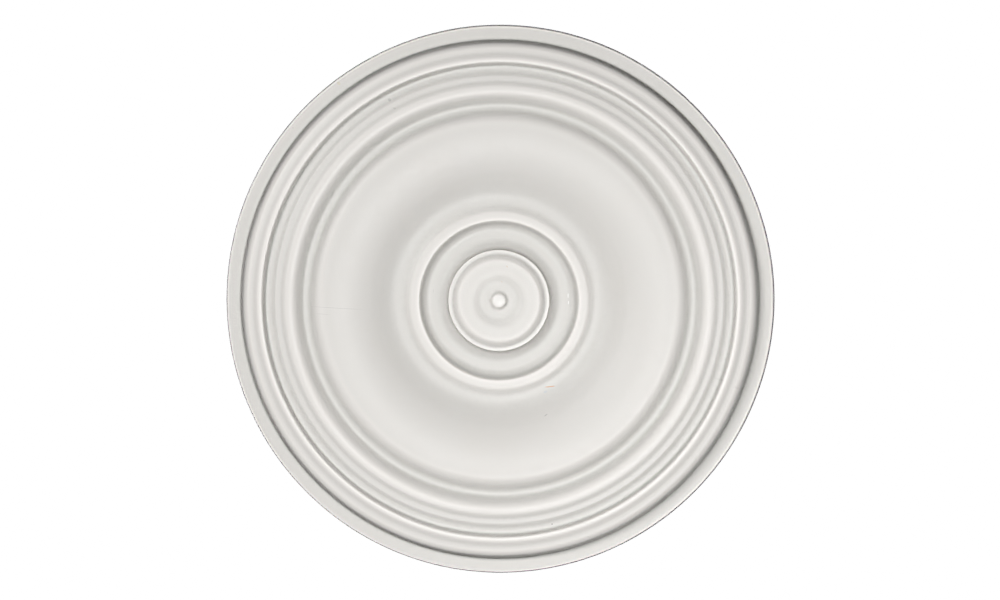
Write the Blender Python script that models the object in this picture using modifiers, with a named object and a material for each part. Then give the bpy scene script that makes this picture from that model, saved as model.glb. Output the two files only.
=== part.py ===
"""A plain round ceiling rose, cast in one piece and turned about its own upright axis.

The rose is modelled as it hangs: its flat back lies against the ceiling in the plane z = 0, and its
moulded face looks down. Its outline is a chain of mouldings. The outer band is set out inwards from the
edge, the central boss outwards from the axis, and the dished field between them takes up what is left.
"""

import math

import bpy

MM = 0.001

# The casting as a whole
ROSE_DIAMETER = 500 * MM
EDGE_THICKNESS = 12.8 * MM
EDGE_LEAN = 4.0 * MM
EDGE_ROUNDING = 0.5 * MM

# Outer band, from the edge inwards. A rise or a depth is measured square to the ceiling.
RIM_WIDTH = 11.2 * MM
OVOLO_FOOT_WIDTH = 2.2 * MM
OVOLO_FOOT_RISE = 2.2 * MM
OVOLO_WALL_WIDTH = 6.1 * MM
OVOLO_WALL_RISE = 11.8 * MM
OVOLO_TOP_WIDTH = 5.5 * MM
OVOLO_TOP_RISE = 2.6 * MM
COVE_WIDTH = 9.2 * MM
COVE_RISE = 2.3 * MM
BEAD_WIDTH = 1.1 * MM
QUIRK_WIDTH = 4.6 * MM
QUIRK_DEPTH = 5.0 * MM
FIRST_TREAD_WIDTH = 1.8 * MM
FIRST_STEP_WIDTH = 6.7 * MM
FIRST_STEP_RISE = 2.3 * MM
SECOND_TREAD_WIDTH = 2.8 * MM
SECOND_STEP_WIDTH = 7.1 * MM
SECOND_STEP_RISE = 1.9 * MM
TORUS_TOP_WIDTH = 1.8 * MM
VALLEY_FALL_WIDTH = 13.1 * MM
VALLEY_DEPTH = 8.8 * MM
VALLEY_FLOOR_WIDTH = 1.0 * MM
CREST_RISE_WIDTH = 15.3 * MM
CREST_RISE = 7.6 * MM
CREST_WIDTH = 5.2 * MM

# Dished field
DISH_HOLLOW_WIDTH = 13.8 * MM
DISH_FLOOR_WIDTH = 2.2 * MM
DISH_FLOOR_THICKNESS = 8.0 * MM

# Central boss, from the axis outwards. A thickness is measured from the ceiling.
PIP_FACE_RADIUS = 4.6 * MM
PIP_FLANK_WIDTH = 4.6 * MM
PIP_HEIGHT = 2.5 * MM
SAUCER_FLOOR_WIDTH = 6.1 * MM
SAUCER_FLANK_WIDTH = 12.5 * MM
SAUCER_DEPTH = 2.4 * MM
BOSS_FACE_WIDTH = 7.5 * MM
BOSS_THICKNESS = 15.8 * MM
BOSS_BREAK_WIDTH = 2.8 * MM
BOSS_BREAK_DROP = 1.0 * MM
BOSS_SLOPE_WIDTH = 3.7 * MM
BOSS_SLOPE_DROP = 2.8 * MM
BOSS_SLOPE_FOOT_WIDTH = 0.8 * MM
BOSS_SLOPE_FOOT_DROP = 0.3 * MM
SHOULDER_WIDTH = 2.8 * MM
BOSS_WALL_WIDTH = 2.1 * MM
BOSS_WALL_DROP = 3.7 * MM
BOSS_FOOT_WIDTH = 8.9 * MM
WELL_THICKNESS = 3.4 * MM
WELL_FLOOR_WIDTH = 6.5 * MM
WELL_COVE_WIDTH = 9.9 * MM
COLLAR_WIDTH = 5.6 * MM
COLLAR_THICKNESS = 10.6 * MM
COLLAR_STEP_WIDTH = 9.2 * MM

# Where each soft step is steepest, as a share of its width in the order it is drawn
EVEN = 0.5
COVE_STEEPEST = 0.68
FIRST_STEP_STEEPEST = 0.8
VALLEY_FALL_STEEPEST = 0.71
CREST_RISE_STEEPEST = 0.31
SAUCER_STEEPEST = 0.24
WELL_COVE_STEEPEST = 0.86
COLLAR_STEP_STEEPEST = 0.4

# Straight facets in each half of a soft step, and round the whole rose
SMALL_FACETS = 2
FINE_FACETS = 3
DISH_FACETS = 4
TURN_FACETS = 60

PLASTER_COLOUR = (0.74, 0.72, 0.69, 1.0)
PLASTER_ROUGHNESS = 0.55


class Outline:
    """The rose's half section, as (radius, thickness) points, drawn by one moulding after another."""

    def __init__(self, radius, thickness):
        self.points = [(radius, thickness)]

    def _sweep(self, width, rise, facets, curve):
        """Goes width along the radius and rise in thickness. curve(t) gives the shares of both gone at t."""
        radius, thickness = self.points[-1]
        for facet in range(1, facets + 1):
            along, risen = curve(facet / facets)
            self.points.append((radius + width * along, thickness + rise * risen))

    def flat(self, width, rise=0.0):
        """A plain band, or a straight slope."""
        self._sweep(width, rise, 1, lambda t: (t, t))

    def steepen(self, width, rise, facets):
        """A shallow curve that leaves parallel to the ceiling and steepens evenly."""
        self._sweep(width, rise, facets, lambda t: (t, t * t))

    def ease_off(self, width, rise, facets):
        """A shallow curve that leaves steep and ends parallel to the ceiling."""
        self._sweep(width, rise, facets, lambda t: (t, 1 - (1 - t) ** 2))

    def soft_step(self, width, rise, steepest, facets):
        """Parallel to the ceiling at both ends, and steepest at the share steepest of its width."""
        self.steepen(width * steepest, rise * steepest, facets)
        self.ease_off(width * (1 - steepest), rise * (1 - steepest), facets)


def outer_band():
    """From the foot of the edge, on the ceiling, inwards to the top of the dished field."""
    band = Outline(ROSE_DIAMETER / 2, 0.0)
    band.flat(-EDGE_LEAN, EDGE_THICKNESS - EDGE_ROUNDING)
    band.ease_off(-EDGE_ROUNDING, EDGE_ROUNDING, SMALL_FACETS)
    band.flat(EDGE_ROUNDING - RIM_WIDTH)
    band.steepen(-OVOLO_FOOT_WIDTH, OVOLO_FOOT_RISE, SMALL_FACETS)
    band.flat(-OVOLO_WALL_WIDTH, OVOLO_WALL_RISE)
    band.ease_off(-OVOLO_TOP_WIDTH, OVOLO_TOP_RISE, FINE_FACETS)
    band.soft_step(-COVE_WIDTH, COVE_RISE, COVE_STEEPEST, SMALL_FACETS)
    band.flat(-BEAD_WIDTH)
    band.soft_step(-QUIRK_WIDTH, -QUIRK_DEPTH, EVEN, SMALL_FACETS)
    band.flat(-FIRST_TREAD_WIDTH)
    band.soft_step(-FIRST_STEP_WIDTH, FIRST_STEP_RISE, FIRST_STEP_STEEPEST, SMALL_FACETS)
    band.flat(-SECOND_TREAD_WIDTH)
    band.soft_step(-SECOND_STEP_WIDTH, SECOND_STEP_RISE, EVEN, SMALL_FACETS)
    band.flat(-TORUS_TOP_WIDTH)
    band.soft_step(-VALLEY_FALL_WIDTH, -VALLEY_DEPTH, VALLEY_FALL_STEEPEST, FINE_FACETS)
    band.flat(-VALLEY_FLOOR_WIDTH)
    band.soft_step(-CREST_RISE_WIDTH, CREST_RISE, CREST_RISE_STEEPEST, FINE_FACETS)
    band.flat(-CREST_WIDTH)
    return band.points


def central_boss():
    """From the middle of the pip outwards to the far side of the dished field's floor."""
    boss = Outline(0.0, BOSS_THICKNESS - SAUCER_DEPTH + PIP_HEIGHT)
    boss.flat(PIP_FACE_RADIUS)
    boss.soft_step(PIP_FLANK_WIDTH, -PIP_HEIGHT, EVEN, SMALL_FACETS)
    boss.flat(SAUCER_FLOOR_WIDTH)
    boss.soft_step(SAUCER_FLANK_WIDTH, SAUCER_DEPTH, SAUCER_STEEPEST, SMALL_FACETS)
    boss.flat(BOSS_FACE_WIDTH)
    boss.steepen(BOSS_BREAK_WIDTH, -BOSS_BREAK_DROP, SMALL_FACETS)
    boss.flat(BOSS_SLOPE_WIDTH, -BOSS_SLOPE_DROP)
    boss.ease_off(BOSS_SLOPE_FOOT_WIDTH, -BOSS_SLOPE_FOOT_DROP, SMALL_FACETS)
    boss.flat(SHOULDER_WIDTH)
    boss.flat(BOSS_WALL_WIDTH, -BOSS_WALL_DROP)
    wall_foot_thickness = boss.points[-1][1]
    boss.ease_off(BOSS_FOOT_WIDTH, WELL_THICKNESS - wall_foot_thickness, FINE_FACETS)
    boss.flat(WELL_FLOOR_WIDTH)
    boss.soft_step(WELL_COVE_WIDTH, COLLAR_THICKNESS - WELL_THICKNESS, WELL_COVE_STEEPEST, FINE_FACETS)
    boss.flat(COLLAR_WIDTH)
    drop_to_dish = DISH_FLOOR_THICKNESS - COLLAR_THICKNESS
    boss.soft_step(COLLAR_STEP_WIDTH, drop_to_dish, COLLAR_STEP_STEEPEST, SMALL_FACETS)
    boss.flat(DISH_FLOOR_WIDTH)
    return boss.points


def dished_field(top, foot):
    """The points between the outer band's crest and the dish's floor: a long fall, then a short hollow."""
    width = top[0] - foot[0]
    field = Outline(*top)
    field.soft_step(-width, foot[1] - top[1], 1 - DISH_HOLLOW_WIDTH / width, DISH_FACETS)
    return field.points[1:-1]


def rose_outline():
    """The whole half section, from the centre of the back round the edge to the middle of the pip."""
    band = outer_band()
    boss = central_boss()
    return [(0.0, 0.0)] + band + dished_field(band[-1], boss[-1]) + boss[::-1]


def plaster_material():
    material = bpy.data.materials.new("painted_plaster")
    material.use_nodes = True
    shader = material.node_tree.nodes["Principled BSDF"]
    shader.inputs["Base Color"].default_value = PLASTER_COLOUR
    shader.inputs["Roughness"].default_value = PLASTER_ROUGHNESS
    shader.inputs["Metallic"].default_value = 0.0
    return material


def turned(name, outline, material, collection):
    """A solid of revolution about the Z axis, from (radius, thickness) points."""
    mesh = bpy.data.meshes.new(name)
    vertices = [(radius, 0.0, -thickness) for radius, thickness in outline]
    mesh.from_pydata(vertices, [(i, i + 1) for i in range(len(vertices) - 1)], [])
    mesh.materials.append(material)
    solid = bpy.data.objects.new(name, mesh)
    collection.objects.link(solid)
    screw = solid.modifiers.new("turn", "SCREW")
    screw.axis = "Z"
    screw.angle = 2 * math.pi
    screw.steps = TURN_FACETS
    screw.render_steps = TURN_FACETS
    screw.use_merge_vertices = True
    screw.merge_threshold = 0.01 * MM
    screw.use_smooth_shade = True
    return solid


def main():
    for old in list(bpy.data.objects):
        bpy.data.objects.remove(old, do_unlink=True)
    collection = bpy.data.collections.new("ceiling_rose")
    bpy.context.scene.collection.children.link(collection)
    turned("rose_casting", rose_outline(), plaster_material(), collection)


main()
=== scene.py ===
"""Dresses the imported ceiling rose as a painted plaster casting, lit and seen from below as in the photograph.

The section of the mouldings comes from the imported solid. It is drawn again through the solid's points
as one smooth curve with its real corners kept, softened by the paint, and turned finely. The face looks
down, so the camera looks up, with the picture's right along +X and the picture's foot along +Y.
"""

import math

import bpy
import numpy as np
from mathutils import Matrix, Vector


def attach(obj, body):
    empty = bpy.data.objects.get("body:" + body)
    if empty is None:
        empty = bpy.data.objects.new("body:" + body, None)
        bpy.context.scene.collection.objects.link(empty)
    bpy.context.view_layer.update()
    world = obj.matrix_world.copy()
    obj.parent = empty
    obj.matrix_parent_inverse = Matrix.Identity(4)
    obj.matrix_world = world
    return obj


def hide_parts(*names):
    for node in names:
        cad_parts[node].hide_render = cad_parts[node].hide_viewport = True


MM = 0.001
NODE = "rose_casting"

# Turning and the section
SEGMENTS = 432
FACE_RINGS = 176
BACK_RINGS = 42
CURVE_STEP = 0.05 * MM
REAL_CORNER = math.radians(50)
PARALLEL_TO_CEILING = math.radians(1)
PAINT_SOFTENING = 0.28 * MM
HOLLOW_SOFTENING = 0.9 * MM
SAME_POINT = 0.02 * MM
ROWS_LOOKED_BACK = 6
BLUR_SPAN = 4
BEND_SOFTENING = 2 * PAINT_SOFTENING
RING_CROWDING = 6.0 * MM
SHADING_CORNER = math.radians(40)

# How far each ring stands proud: the reach it is measured over, and the height that counts as full
RELIEF_REACH = 3.0 * MM
RELIEF_FULL = 1.2 * MM
LIE_REACHES = ((6.0 * MM, 2.5 * MM), (12.0 * MM, 4.0 * MM))

# The painted highlight line just inside the rim's arris
HIGHLIGHT_LINE_INSET = 0.7 * MM
HIGHLIGHT_LINE_WIDTH = 1.3 * MM

# Unevenness of the casting, always taken off the solid, never added. It fades where the casting is thinner
# than THIN_PART, and the outline's grows towards the edge.
FACE_UNEVENNESS = 0.12 * MM
EDGE_UNEVENNESS = 0.15 * MM
BACK_UNEVENNESS = 0.6 * MM
WAVE_COUNT = 7
WAVE_SPREAD = (0.6, 1.6)
WAVE_FLATTENING = 3
THIN_PART = 2 * MM
EDGE_BIAS = 4

# Slow waves: length and seed
FACE_WAVES = (120 * MM, 3)
EDGE_WAVES = (180 * MM, 5)
SWEEP_WAVES = (55 * MM, 8)
BACK_WAVES = (90 * MM, 9)
SWEEP_SHARE = 0.6
SWEEP_SLANT = 0.3
SWEEP_STRETCH = 0.25

# Paint carried over the edge on to the back: the farthest it can reach, and where the rings of points near
# the edge lie. The back's sweeps reach their full depth some way further in.
LAP_REACH = 8.0 * MM
LAP_RINGS = (0.5 * MM, 1.5 * MM, 3.0 * MM, 5.0 * MM, LAP_REACH)
SWEEPS_FROM_EDGE = 4 * LAP_REACH

# Camera, in metres
CAMERA_DISTANCE = 0.9123
CAMERA_TILT = math.radians(1.75)
CAMERA_LEAN = (0.65, -0.76)
CAMERA_TARGET = (0.00097, -0.00048, -0.008)
LENS = 36.0
SENSOR = 36.0

# Square lights, all aimed at the origin: place and size in metres, power in watts
LIGHTS = {
    "key": ((-1.55, -0.85, -2.1), 0.7, 30.3),
    "front": ((0.18, 0.26, -1.3), 0.35, 13.2),
    "right": ((1.6, -0.4, -1.3), 0.6, 2.2),
    "back light": ((0.45, -0.30, 1.75), 0.8, 9.0),
}

# Light from all round: the height it starts at and is full at, as a share of straight up, and its strength
SIDE_GLOW = (-0.45, -0.15, 0.15)
SKY = (0.05, 0.6, 1.1)

# Floor and view
FLOOR_DEPTH = 2.6
FLOOR_RADIUS = 30.0
FLOOR_SIDES = 96
VIEW_GAMMA = 0.9

# Local contrast of the finished picture, in two passes: reach in pixels, and share added
CONTRAST = ((9, 0.75), (3, 0.35))

# Colours, scene linear
PAINT = (0.685, 0.670, 0.645)
PAINT_WARM = (0.668, 0.643, 0.608)
# Painted shade: darker paint for the recesses and for the ring under the collar
PAINTED_RECESS_SHADE = (0.560, 0.552, 0.526)
# Painted shade where the face lies low against its wider surroundings
PAINTED_LOW_SHADE = (0.585, 0.578, 0.553)
LOW_SHADE_SHARE = 0.8
# Painted highlight: lighter, warmer paint on what stands proud and on the line inside the arris
PAINTED_HIGHLIGHT = (0.772, 0.748, 0.719)
RAW_PLASTER = (0.600, 0.585, 0.540)
RAW_PLASTER_DARK = (0.540, 0.522, 0.474)
PINHOLE = (0.300, 0.285, 0.250)
FLOOR_COLOUR = (0.90, 0.90, 0.90)
FLOOR_PATCH = (0.86, 0.855, 0.84)
WHITE = (0.95, 0.95, 0.95)

# Noises: scale, detail and, for some, roughness
WARM_PATCHES = (14.0, 3.0, 0.55)
FINE_PATCHES = (160.0, 4.0, 0.6)
PEEL = (520.0, 3.0)
MARK_GRAIN = (900.0, 2.0)
LAP_WAVER = (30.0, 3.0, 0.6)
DRAG_LINES = (1.0, 3.0, 0.5)
MOTTLE = (12.0, 4.0, 0.6)
GRAIN = (700.0, 3.0)
PINHOLE_GROUPS = (25.0, 2.0)
FLOOR_PATCHES = (0.6, 2.0)

# Pairs are a low and a high value, and NOISE_RANGE is where most of a noise's values lie. Single numbers
# are shares or amounts.
NOISE_RANGE = (0.3, 0.7)
WARM_RANGE = (0.35, 0.75)
WARM_SHARE = 0.35
# Painted shade in the recesses: the relief it spans, its share and its raggedness
SHADED_RELIEF = (-0.9, -0.05)
RECESS_SHADE_SHARE = 0.5
RECESS_SHADE_RAGGEDNESS = 0.15
# Painted shade where the face lies low: the lie it spans
SHADED_LIE = (-1.0, 0.0)
# Painted highlight where the face stands proud: the lie it spans
HIGHLIGHT_LIE = (0.1, 0.8)
MARK_EDGE = (0.6, 1.15)
MARK_RAGGEDNESS = 0.25
LAP_LINE = (0.36, 0.44)
LAP_WAVER_DEPTH = 0.25
LAP_FRAYING = 0.06
PLASTER_TONES = (0.38, 0.62)
DRAG_TONE_SHARE = 0.3
PINHOLE_EDGE = (0.05, 0.1)
PINHOLE_GROUP_RANGE = (0.52, 0.6)
PAINT_ROUGHNESS = (0.48, 0.56)
BACK_ROUGHNESS = 0.85
FLOOR_ROUGHNESS = 0.9

# Fine relief and the back's marks
PEEL_HEIGHT = 0.015 * MM
DRAG_HEIGHT = 0.10 * MM
GRAIN_HEIGHT = 0.04 * MM
PINHOLE_DEPTH = 0.4 * MM
PINHOLE_CELLS = 90.0
PINHOLE_DARKNESS = 0.8
DRAG_STRETCH = (150.0, 7.0, 1.0)
DRAG_TURN = 17.0

# Painted shade in the corner under the collar: radius, half width, strength
PAINTED_SHADE_LINE = (69.5 * MM, 3.2 * MM, 0.5)

# Small marks on the face: middle (x, y) and length, width in mm, turn in degrees, colour, strength
MARKS = {
    # Painted light: a lighter boss, and a painted highlight on the pip's top
    "painted light on the boss": ((0.0, 0.0), (80.0, 80.0), 0.0, (0.95, 0.93, 0.89), 0.09),
    "painted highlight on the pip": ((0.0, 0.0), (11.0, 11.0), 0.0, (0.88, 0.87, 0.85), 0.45),
    "hairline scratch": ((-143.1, 6.3), (50.0, 0.5), 3.6, (0.34, 0.33, 0.32), 0.14),
    "short hairline": ((-155.8, 11.6), (14.0, 0.5), 3.6, (0.34, 0.33, 0.32), 0.12),
    "tan dash": ((46.2, 77.9), (10.5, 1.2), -6.5, (0.62, 0.42, 0.30), 0.55),
    "bluish smear": ((42.1, 82.6), (4.0, 2.4), -20.0, (0.52, 0.56, 0.60), 0.25),
    "grey tick": ((42.3, 102.5), (3.8, 1.0), -35.0, (0.40, 0.40, 0.38), 0.28),
    "upper speck": ((-96.2, -177.6), (3.6, 2.8), 40.0, (0.30, 0.30, 0.29), 0.18),
    "lower speck": ((-91.5, -169.7), (3.0, 2.0), 10.0, (0.30, 0.30, 0.29), 0.1),
    "speck on the rim": ((-185.3, -155.4), (1.3, 1.1), 0.0, (0.28, 0.27, 0.26), 0.15),
    "white fleck": ((62.7, -4.4), (4.6, 0.9), 90.0, WHITE, 0.35),
    "second white fleck": ((63.0, 2.0), (3.6, 0.9), 95.0, WHITE, 0.35),
    "faint grey fleck": ((-59.7, -8.5), (4.0, 0.8), 90.0, (0.45, 0.44, 0.42), 0.12),
    "orange tick on the saucer": ((7.4, -30.7), (2.0, 0.7), 60.0, (0.62, 0.40, 0.22), 0.3),
    "orange tick by the pip": ((2.7, -16.9), (1.8, 0.7), 30.0, (0.62, 0.40, 0.22), 0.2),
    "yellow spot on the rim": ((-143.7, -195.1), (4.0, 3.0), 40.0, (0.60, 0.56, 0.40), 0.25),
    # Painted shade: faint grey lines stand for the shade of two slight folds in the surface
    "painted shade of the fold on the step": ((194.9, 69.0), (8.0, 2.4), 15.0, (0.36, 0.35, 0.34), 0.07),
    "painted shade of the fold on the ovolo": ((210.1, 76.3), (6.0, 2.4), 15.0, (0.36, 0.35, 0.34), 0.07),
    "low speck": ((47.6, 198.4), (1.6, 1.2), 0.0, (0.26, 0.25, 0.24), 0.4),
}


def solid_section(node):
    """The solid's half section, as (radius, thickness) rows from the face's middle to the edge's foot."""
    raw = sorted((math.hypot(v.co.x, v.co.y), -v.co.z) for v in node.data.vertices)
    rows = []
    for radius, thickness in raw:
        if thickness < SAME_POINT and radius < raw[-1][0] - SAME_POINT:
            continue
        close = [r for r in rows[-ROWS_LOOKED_BACK:] if math.dist(r, (radius, thickness)) < SAME_POINT]
        if not close:
            rows.append((radius, thickness))
    edge = raw[-1][0]
    face = [r for r in rows if r[0] < edge - SAME_POINT]
    return face + sorted((r for r in rows if r[0] >= edge - SAME_POINT), key=lambda r: -r[1])


def directions(rows):
    """The direction of each stretch of the section, in radians."""
    return [math.atan2(b[1] - a[1], b[0] - a[0]) for a, b in zip(rows, rows[1:])]


def end_directions(stretches):
    """The curve's direction at the start and the end of each stretch, with real corners kept."""
    starts, ends = list(stretches), list(stretches)
    joined = []
    for i in range(len(stretches) - 1):
        before, after = stretches[i], stretches[i + 1]
        joined.append(abs(after - before) < REAL_CORNER)
        if joined[-1]:
            level = min(abs(before), abs(after)) < PARALLEL_TO_CEILING
            ends[i] = starts[i + 1] = 0.0 if level else (before + after) / 2
    for i, own in enumerate(stretches):
        start_joined = i > 0 and joined[i - 1]
        end_joined = i < len(joined) and joined[i]
        if abs(own) > PARALLEL_TO_CEILING and start_joined != end_joined:
            if start_joined:
                ends[i] = own
            else:
                starts[i] = own
    return starts, ends


def smooth_section(rows):
    """A dense smooth curve through the section's points."""
    starts, ends = end_directions(directions(rows))
    curve = []
    for i, (a, b) in enumerate(zip(rows, rows[1:])):
        a, b = np.array(a), np.array(b)
        length = np.linalg.norm(b - a)
        t = np.linspace(0, 1, max(2, int(length / CURVE_STEP)), endpoint=False)[:, None]
        leave = length * np.array([math.cos(starts[i]), math.sin(starts[i])])
        arrive = length * np.array([math.cos(ends[i]), math.sin(ends[i])])
        curve.append((2 * t**3 - 3 * t**2 + 1) * a + (t**3 - 2 * t**2 + t) * leave
                     + (3 * t**2 - 2 * t**3) * b + (t**3 - t**2) * arrive)
    return np.vstack([*curve, np.array(rows[-1])[None]])


def along(curve):
    """The distance gone at each point of a curve."""
    return np.concatenate([[0], np.cumsum(np.linalg.norm(np.diff(curve, axis=0), axis=1))])


def blurred(values, reach, mirrored):
    """Values smoothed along the curve, whose first point is on the axis. Beyond the axis they are mirrored
    or turned round their first value, and beyond the far end turned round their last one."""
    half = int(BLUR_SPAN * reach / CURVE_STEP)
    weights = np.exp(-0.5 * (np.arange(-half, half + 1) * CURVE_STEP / reach) ** 2)
    weights /= weights.sum()
    ahead = values[half:0:-1] if mirrored else 2 * values[0] - values[half:0:-1]
    behind = 2 * values[-1] - values[-2:-half - 2:-1]
    return np.convolve(np.concatenate([ahead, values, behind]), weights, mode="valid")


def painted_section(rows):
    """Ring radii and thicknesses, and how far each ring stands proud of what is close by and further off.
    Just inside the rim's arris a thin line counts as proud, so that it takes a painted highlight."""
    curve = smooth_section(rows)
    gone = along(curve)
    even = np.arange(0, gone[-1], CURVE_STEP)
    radius = np.interp(even, gone, curve[:, 0])
    thickness = np.interp(even, gone, curve[:, 1])
    filled = np.maximum(thickness, blurred(thickness, HOLLOW_SOFTENING, True))
    soft = np.column_stack([blurred(radius, PAINT_SOFTENING, False), blurred(filled, PAINT_SOFTENING, True)])
    soft = np.clip(soft, 0.0, [rows[-1][0], max(r[1] for r in rows)])
    arris_radius, arris_thickness = rows[-2]
    level = np.where(soft[:, 0] > arris_radius - PAINT_SOFTENING, arris_thickness, soft[:, 1])
    proud = (level - blurred(level, RELIEF_REACH, True)) / RELIEF_FULL
    lie = np.mean([(level - blurred(level, reach, True)) / full for reach, full in LIE_REACHES], axis=0)
    # The line just inside the arris is made proud, so it takes the painted highlight
    from_line = np.abs(arris_radius - HIGHLIGHT_LINE_INSET - soft[:, 0])
    lie = np.maximum(lie, 1 - from_line / HIGHLIGHT_LINE_WIDTH)
    heading = np.unwrap(np.arctan2(np.gradient(soft[:, 1]), np.gradient(soft[:, 0])))
    bend = np.abs(np.gradient(blurred(heading, BEND_SOFTENING, False), CURVE_STEP))
    need = np.cumsum(1.0 + RING_CROWDING * bend)
    rings = np.interp(np.linspace(need[0], need[-1], FACE_RINGS + 1), need, np.arange(len(need)))
    rings = np.unique(np.round(rings).astype(int))
    return soft[rings, 0], soft[rings, 1], np.clip(proud[rings], -1, 1), np.clip(lie[rings], -1, 1)


def slow_waves(x, y, wavelength, seed):
    """A smooth unevenness between 0 and 1, built from a few crossing waves."""
    rng = np.random.default_rng(seed)
    total = np.zeros_like(x)
    for turn in rng.uniform(0, 2 * math.pi, WAVE_COUNT):
        length = wavelength * rng.uniform(*WAVE_SPREAD)
        phase = 2 * math.pi * (x * math.cos(turn) + y * math.sin(turn)) / length
        total += np.sin(phase + rng.uniform(0, 2 * math.pi))
    return 0.5 + 0.5 * np.tanh(total / WAVE_FLATTENING)


def face_points(radius, thickness, turn):
    """The turned face's points, slightly uneven."""
    r, a = np.meshgrid(radius, turn, indexing="ij")
    t = np.repeat(thickness[:, None], len(turn), axis=1)
    x, y = r * np.cos(a), r * np.sin(a)
    t = t - FACE_UNEVENNESS * slow_waves(x, y, *FACE_WAVES) * np.minimum(1, t / THIN_PART)
    share_out = (r / radius[-1]) ** EDGE_BIAS
    shrink = 1 - EDGE_UNEVENNESS / radius[-1] * slow_waves(x, y, *EDGE_WAVES) * share_out
    return np.stack([x * shrink, y * shrink, -t], axis=-1)


def back_points(rim, turn):
    """The back's points, from just inside the edge to near the axis, and how far in each ring lies. A
    strike-off bar has left broad shallow sweeps."""
    edge = np.hypot(rim[:, 0], rim[:, 1])[None]
    evenly = np.linspace(LAP_RINGS[-1], edge.max(), BACK_RINGS - len(LAP_RINGS) + 2)[1:-1]
    inwards = np.concatenate([LAP_RINGS, evenly])
    r, a = np.broadcast_arrays(edge * (1 - inwards[:, None] / edge.max()), turn[None])
    x, y = r * np.cos(a), r * np.sin(a)
    across, down = x + SWEEP_SLANT * y, SWEEP_STRETCH * (y - SWEEP_SLANT * x)
    sweep = SWEEP_SHARE * slow_waves(across, down, *SWEEP_WAVES)
    sweep = sweep + (1 - SWEEP_SHARE) * slow_waves(x, y, *BACK_WAVES)
    depth = BACK_UNEVENNESS * np.minimum(1, inwards[:, None] / SWEEPS_FROM_EDGE) * sweep
    return np.stack([x, y, -depth], axis=-1), inwards


def grid_faces(rows, columns, start):
    """Quads between neighbouring rings of points, each ring joined round on itself."""
    i, j = np.meshgrid(np.arange(rows - 1), np.arange(columns), indexing="ij")
    k = (j + 1) % columns
    quads = np.stack([i * columns + j, i * columns + k, (i + 1) * columns + k, (i + 1) * columns + j], -1)
    return (quads.reshape(-1, 4) + start).tolist()


def rose_mesh(section):
    """The whole casting as one closed mesh, with its relief and its back kept as attributes."""
    radius, thickness, proud, lie = section
    turn = np.linspace(0, 2 * math.pi, SEGMENTS, endpoint=False)
    face = face_points(radius[1:], thickness[1:], turn)
    face[-1, :, 2] = 0.0  # the edge's foot lies on the ceiling
    back, inwards = back_points(face[-1], turn)
    rings = np.concatenate([face, back])
    count = len(rings) * SEGMENTS
    ends = [(0.0, 0.0, -thickness[0]), (0.0, 0.0, -BACK_UNEVENNESS / 2)]
    faces = grid_faces(len(rings), SEGMENTS, 0)
    last = count - SEGMENTS
    for j in range(SEGMENTS):
        k = (j + 1) % SEGMENTS
        faces.append((count, k, j))
        faces.append((count + 1, last + j, last + k))
    mesh = bpy.data.meshes.new("rose")
    mesh.from_pydata([*rings.reshape(-1, 3).tolist(), *ends], [], faces)
    mesh.shade_smooth()
    mesh.set_sharp_from_angle(angle=SHADING_CORNER)
    plain = 0 * inwards
    attributes = {
        "relief": (proud, plain, (proud[0], 0)),
        "lie": (lie, plain, (lie[0], 0)),
        "back": (0 * lie, np.minimum(1, inwards / LAP_REACH), (0, 1)),
    }
    for name, (front, behind, middles) in attributes.items():
        values = np.concatenate([np.repeat([*front[1:], *behind], SEGMENTS), middles]).astype(np.float32)
        mesh.attributes.new(name, "FLOAT", "POINT").data.foreach_set("value", values)
    return mesh


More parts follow.
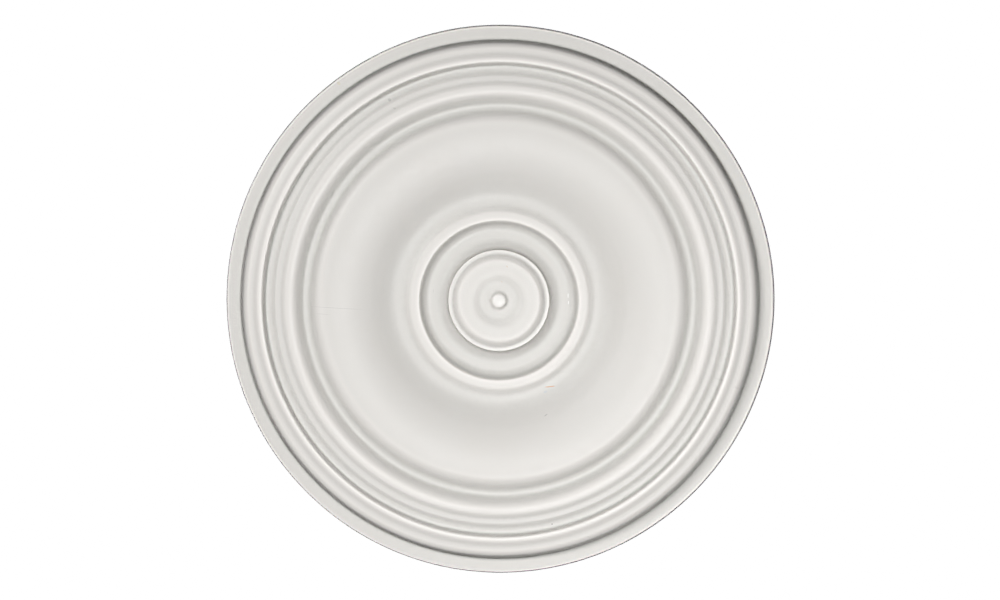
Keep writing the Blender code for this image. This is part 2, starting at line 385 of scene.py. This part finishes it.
class Nodes:
    """Short ways to lay down and join the nodes of one material."""

    def __init__(self, material):
        material.use_nodes = True
        self.tree = material.node_tree
        self.shader = self.tree.nodes["Principled BSDF"]
        self.place = self.add("ShaderNodeTexCoord").outputs["Object"]

    def add(self, kind, **settings):
        node = self.tree.nodes.new(kind)
        for name, value in settings.items():
            setattr(node, name, value)
        return node

    def plug(self, socket, value):
        """Joins an output to a socket, or sets the socket to a number or colour."""
        if isinstance(value, bpy.types.NodeSocket):
            self.tree.links.new(value, socket)
        elif hasattr(socket.default_value, "__len__") and len(socket.default_value) == 4:
            socket.default_value = (*value, 1.0)
        else:
            socket.default_value = value

    def noise(self, scale, detail=3.0, roughness=0.5, where=None):
        node = self.add("ShaderNodeTexNoise")
        self.plug(node.inputs["Vector"], where or self.place)
        node.inputs["Scale"].default_value = scale
        node.inputs["Detail"].default_value = detail
        node.inputs["Roughness"].default_value = roughness
        return node.outputs["Fac"]

    def ramp(self, value, low, high, start=0.0, end=1.0, smooth=False):
        node = self.add("ShaderNodeMapRange", interpolation_type="SMOOTHSTEP" if smooth else "LINEAR")
        self.plug(node.inputs["Value"], value)
        for name, number in (("From Min", low), ("From Max", high), ("To Min", start), ("To Max", end)):
            node.inputs[name].default_value = number
        return node.outputs["Result"]

    def math(self, operation, a, b=0.0):
        node = self.add("ShaderNodeMath", operation=operation)
        self.plug(node.inputs[0], a)
        self.plug(node.inputs[1], b)
        return node.outputs[0]

    def mix(self, share, a, b):
        node = self.add("ShaderNodeMix", data_type="RGBA", clamp_factor=True)
        self.plug(node.inputs["Factor"], share)
        self.plug(node.inputs["A"], a)
        self.plug(node.inputs["B"], b)
        return node.outputs["Result"]

    def attribute(self, name):
        return self.add("ShaderNodeAttribute", attribute_name=name).outputs["Fac"]

    def placed(self, middle, size, turn):
        """The position measured from a mark's middle, in half lengths and half widths."""
        node = self.add("ShaderNodeMapping", vector_type="TEXTURE")
        self.plug(node.inputs["Vector"], self.place)
        node.inputs["Location"].default_value = (middle[0] * MM, middle[1] * MM, 0)
        node.inputs["Rotation"].default_value = (0, 0, math.radians(turn))
        node.inputs["Scale"].default_value = (size[0] / 2 * MM, size[1] / 2 * MM, 1)
        return node.outputs[0]

    def length(self, vector):
        node = self.add("ShaderNodeVectorMath", operation="LENGTH")
        self.plug(node.inputs[0], vector)
        return node.outputs["Value"]


def flat_only(nodes, vector):
    """The vector without its depth, so a mark is measured across the face alone."""
    node = nodes.add("ShaderNodeVectorMath", operation="MULTIPLY")
    nodes.plug(node.inputs[0], vector)
    node.inputs[1].default_value = (1, 1, 0)
    return node.outputs[0]


def with_marks(nodes, colour, on_back):
    """The face's colour with its few small marks, some of them painted light or shade."""
    ragged = nodes.ramp(nodes.noise(*MARK_GRAIN), 0.0, 1.0, -MARK_RAGGEDNESS, MARK_RAGGEDNESS)
    on_face = nodes.math("SUBTRACT", 1.0, on_back)
    for middle, size, turn, mark_colour, strength in MARKS.values():
        spot = nodes.length(flat_only(nodes, nodes.placed(middle, size, turn)))
        share = nodes.ramp(nodes.math("ADD", spot, ragged), *MARK_EDGE, strength, 0.0, smooth=True)
        colour = nodes.mix(nodes.math("MULTIPLY", share, on_face), colour, mark_colour)
    return colour


def with_painted_shade_line(nodes, colour):
    """The colour with a soft ring of painted shade round the well, under the collar."""
    radius, reach, strength = PAINTED_SHADE_LINE
    off = nodes.math("ABSOLUTE", nodes.math("SUBTRACT", nodes.length(flat_only(nodes, nodes.place)), radius))
    return nodes.mix(nodes.ramp(off, 0.0, reach, strength, 0.0, smooth=True), colour, PAINTED_RECESS_SHADE)


def paint(nodes, fine_patch, on_back):
    """The painted face's colour, with painted shade where it lies low and painted highlight where it stands
    proud.
    """
    warmth = nodes.ramp(nodes.noise(*WARM_PATCHES), *WARM_RANGE, 0.0, WARM_SHARE)
    colour = nodes.mix(warmth, PAINT, PAINT_WARM)
    # Painted shade in the recesses: darker where the ring lies below what is close by, with a ragged edge
    ragged = nodes.ramp(fine_patch, *NOISE_RANGE, -RECESS_SHADE_RAGGEDNESS, RECESS_SHADE_RAGGEDNESS)
    relief = nodes.math("ADD", nodes.attribute("relief"), ragged)
    colour = nodes.mix(nodes.ramp(relief, *SHADED_RELIEF, RECESS_SHADE_SHARE, 0.0, smooth=True), colour, PAINTED_RECESS_SHADE)
    # Painted shade: darker where the ring lies below what is further off
    lie = nodes.attribute("lie")
    colour = nodes.mix(nodes.ramp(lie, *SHADED_LIE, LOW_SHADE_SHARE, 0.0), colour, PAINTED_LOW_SHADE)
    # Painted highlight: lighter where the ring stands proud of what is close by and further off
    colour = nodes.mix(nodes.ramp(lie, *HIGHLIGHT_LIE), colour, PAINTED_HIGHLIGHT)
    return with_marks(nodes, with_painted_shade_line(nodes, colour), on_back)


def stretched(nodes, scale, turn):
    """The position turned and stretched, for marks drawn out in one direction."""
    node = nodes.add("ShaderNodeMapping")
    nodes.plug(node.inputs["Vector"], nodes.place)
    node.inputs["Rotation"].default_value = (0, 0, math.radians(turn))
    node.inputs["Scale"].default_value = scale
    return node.outputs[0]


def pinholes(nodes):
    """Small round air holes, a few to the hand's breadth."""
    cells = nodes.add("ShaderNodeTexVoronoi")
    nodes.plug(cells.inputs["Vector"], nodes.place)
    cells.inputs["Scale"].default_value = PINHOLE_CELLS
    hole = nodes.ramp(cells.outputs["Distance"], *PINHOLE_EDGE, 1.0, 0.0, smooth=True)
    chosen = nodes.ramp(nodes.noise(*PINHOLE_GROUPS), *PINHOLE_GROUP_RANGE)
    return nodes.math("MULTIPLY", hole, chosen)


def bare_plaster(nodes):
    """The struck-off back's colour and height in metres: faint drag lines, mottling, grain and pinholes."""
    drag = nodes.noise(*DRAG_LINES, stretched(nodes, DRAG_STRETCH, DRAG_TURN))
    mottle = nodes.noise(*MOTTLE)
    pits = pinholes(nodes)
    dragged_tone = nodes.math("MULTIPLY", drag, DRAG_TONE_SHARE)
    tone = nodes.math("ADD", dragged_tone, nodes.math("MULTIPLY", mottle, 1 - DRAG_TONE_SHARE))
    colour = nodes.mix(nodes.ramp(tone, *PLASTER_TONES), RAW_PLASTER, RAW_PLASTER_DARK)
    colour = nodes.mix(nodes.math("MULTIPLY", pits, PINHOLE_DARKNESS), colour, PINHOLE)
    height = nodes.math("MULTIPLY", drag, DRAG_HEIGHT)
    height = nodes.math("ADD", height, nodes.math("MULTIPLY", nodes.noise(*GRAIN), GRAIN_HEIGHT))
    return colour, nodes.math("SUBTRACT", height, nodes.math("MULTIPLY", pits, PINHOLE_DEPTH))


def plaster_material():
    """Matt white paint over plaster on the face and edge, lapping a little on to the bare plaster back."""
    material = bpy.data.materials.new("painted_plaster")
    nodes = Nodes(material)
    fine_patch = nodes.noise(*FINE_PATCHES)
    waver = nodes.ramp(nodes.noise(*LAP_WAVER), *NOISE_RANGE, -LAP_WAVER_DEPTH, LAP_WAVER_DEPTH)
    fraying = nodes.ramp(fine_patch, *NOISE_RANGE, -LAP_FRAYING, LAP_FRAYING)
    lap = nodes.math("ADD", waver, fraying)
    on_back = nodes.ramp(nodes.math("ADD", nodes.attribute("back"), lap), *LAP_LINE, smooth=True)
    on_face = nodes.math("SUBTRACT", 1.0, on_back)
    raw, struck = bare_plaster(nodes)
    nodes.plug(nodes.shader.inputs["Base Color"], nodes.mix(on_back, paint(nodes, fine_patch, on_back), raw))

    sheen_patch = nodes.ramp(fine_patch, *NOISE_RANGE, *PAINT_ROUGHNESS)
    roughness = nodes.math("MAXIMUM", sheen_patch, nodes.math("MULTIPLY", on_back, BACK_ROUGHNESS))
    nodes.plug(nodes.shader.inputs["Roughness"], roughness)

    peel = nodes.math("MULTIPLY", nodes.noise(*PEEL), PEEL_HEIGHT)
    height = nodes.math("ADD", nodes.math("MULTIPLY", peel, on_face), nodes.math("MULTIPLY", struck, on_back))
    bump = nodes.add("ShaderNodeBump")
    bump.inputs["Strength"].default_value = 1.0
    bump.inputs["Distance"].default_value = 1.0
    nodes.plug(bump.inputs["Height"], height)
    nodes.plug(nodes.shader.inputs["Normal"], bump.outputs[0])
    return material


def area_light(name, place, size, power):
    data = bpy.data.lights.new(name, "AREA")
    data.shape = "SQUARE"
    data.size = size
    data.energy = power
    light = bpy.data.objects.new(name, data)
    light.location = place
    light.rotation_euler = (-Vector(place)).to_track_quat("-Z", "Y").to_euler()
    light.visible_camera = False
    bpy.context.scene.collection.objects.link(light)


def add_world():
    """White to the camera all round. As light, a soft sky above the ceiling line, and a faint glow from the
    sides just below it."""
    world = bpy.data.worlds.new("studio")
    bpy.context.scene.world = world
    world.use_nodes = True
    tree = world.node_tree
    tree.nodes.clear()
    place = tree.nodes.new("ShaderNodeTexCoord")
    split = tree.nodes.new("ShaderNodeSeparateXYZ")
    tree.links.new(place.outputs["Generated"], split.inputs[0])
    strength = tree.nodes.new("ShaderNodeLightPath").outputs["Is Camera Ray"]
    for low, full, most in (SIDE_GLOW, SKY):
        ramp = tree.nodes.new("ShaderNodeMapRange")
        for name, number in (("From Min", low), ("From Max", full), ("To Min", 0.0), ("To Max", most)):
            ramp.inputs[name].default_value = number
        tree.links.new(split.outputs["Z"], ramp.inputs["Value"])
        larger = tree.nodes.new("ShaderNodeMath")
        larger.operation = "MAXIMUM"
        tree.links.new(strength, larger.inputs[0])
        tree.links.new(ramp.outputs["Result"], larger.inputs[1])
        strength = larger.outputs[0]
    shade = tree.nodes.new("ShaderNodeBackground")
    shade.inputs["Color"].default_value = (1, 1, 1, 1)
    out = tree.nodes.new("ShaderNodeOutputWorld")
    tree.links.new(strength, shade.inputs["Strength"])
    tree.links.new(shade.outputs[0], out.inputs[0])


def add_floor():
    """A plain pale floor below the lights. It sends no light back up to the face."""
    mesh = bpy.data.meshes.new("floor")
    turn = np.linspace(0, 2 * math.pi, FLOOR_SIDES, endpoint=False)
    ring = [(FLOOR_RADIUS * math.cos(a), FLOOR_RADIUS * math.sin(a), -FLOOR_DEPTH) for a in turn]
    mesh.from_pydata(ring, [], [tuple(range(len(ring)))])
    floor = bpy.data.objects.new("floor", mesh)
    bpy.context.scene.collection.objects.link(floor)
    material = bpy.data.materials.new("pale_floor")
    nodes = Nodes(material)
    patch = nodes.ramp(nodes.noise(*FLOOR_PATCHES), *NOISE_RANGE)
    nodes.plug(nodes.shader.inputs["Base Color"], nodes.mix(patch, FLOOR_COLOUR, FLOOR_PATCH))
    nodes.shader.inputs["Roughness"].default_value = FLOOR_ROUGHNESS
    mesh.materials.append(material)
    floor.visible_diffuse = False
    floor.visible_glossy = False


def add_camera():
    """The camera looks up at the face from a little to one side, as the drift of the rings shows."""
    data = bpy.data.cameras.new("camera")
    data.lens = LENS
    data.sensor_width = SENSOR
    camera = bpy.data.objects.new("camera", data)
    aside = CAMERA_DISTANCE * math.sin(CAMERA_TILT)
    place = Vector((CAMERA_LEAN[0] * aside, CAMERA_LEAN[1] * aside, -CAMERA_DISTANCE * math.cos(CAMERA_TILT)))
    backwards = (place - Vector(CAMERA_TARGET)).normalized()
    right = Vector((0, -1, 0)).cross(backwards).normalized()
    up = backwards.cross(right)
    camera.matrix_world = Matrix.Translation(place) @ Matrix((right, up, backwards)).transposed().to_4x4()
    bpy.context.scene.collection.objects.link(camera)
    bpy.context.scene.camera = camera


def mixed(tree, operation, share, a, b):
    """One mixing node of the compositor, with nothing clipped."""
    node = tree.nodes.new("CompositorNodeMixRGB")
    node.blend_type = operation
    node.inputs[0].default_value = share
    tree.links.new(a, node.inputs[1])
    tree.links.new(b, node.inputs[2])
    return node.outputs[0]


def softened(tree, image, reach):
    node = tree.nodes.new("CompositorNodeBlur")
    node.filter_type = "GAUSS"
    node.size_x = node.size_y = reach
    tree.links.new(image, node.inputs[0])
    return node.outputs[0]


def add_local_contrast():
    """Adds back the render's own fine detail, measured on the object alone, then lays it over white."""
    scene = bpy.context.scene
    scene.render.film_transparent = True
    scene.use_nodes = True
    tree = scene.node_tree
    tree.nodes.clear()
    layers = tree.nodes.new("CompositorNodeRLayers")
    image, cover = layers.outputs["Image"], layers.outputs["Alpha"]
    for reach, share in CONTRAST:
        local = mixed(tree, "DIVIDE", 1.0, softened(tree, image, reach), softened(tree, cover, reach))
        local = mixed(tree, "MULTIPLY", 1.0, local, cover)
        detail = mixed(tree, "SUBTRACT", 1.0, image, local)
        image = mixed(tree, "ADD", share, image, detail)
    covered = tree.nodes.new("CompositorNodeSetAlpha")
    covered.mode = "REPLACE_ALPHA"
    tree.links.new(image, covered.inputs["Image"])
    tree.links.new(cover, covered.inputs["Alpha"])
    over = tree.nodes.new("CompositorNodeAlphaOver")
    over.inputs[1].default_value = (1, 1, 1, 1)
    tree.links.new(covered.outputs[0], over.inputs[2])
    out = tree.nodes.new("CompositorNodeComposite")
    tree.links.new(over.outputs[0], out.inputs[0])


def add_rose(frame):
    """The visible casting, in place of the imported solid."""
    section = painted_section(solid_section(frame["nodes"][NODE]))
    rose = bpy.data.objects.new("rose", rose_mesh(section))
    bpy.context.scene.collection.objects.link(rose)
    rose.data.materials.append(plaster_material())
    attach(rose, "root")
    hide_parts(NODE)


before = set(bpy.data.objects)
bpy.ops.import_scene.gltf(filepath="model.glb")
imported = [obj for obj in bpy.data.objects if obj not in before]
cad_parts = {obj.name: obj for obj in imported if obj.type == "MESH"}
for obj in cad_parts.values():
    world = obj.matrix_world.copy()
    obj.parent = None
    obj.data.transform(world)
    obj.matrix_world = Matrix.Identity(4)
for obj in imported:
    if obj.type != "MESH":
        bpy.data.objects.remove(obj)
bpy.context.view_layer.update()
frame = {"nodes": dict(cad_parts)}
add_rose(frame)
add_floor()
add_world()
for light_name, light in LIGHTS.items():
    area_light(light_name, *light)
add_camera()
add_local_contrast()
bpy.context.scene.view_settings.view_transform = "Standard"
bpy.context.scene.view_settings.gamma = VIEW_GAMMA
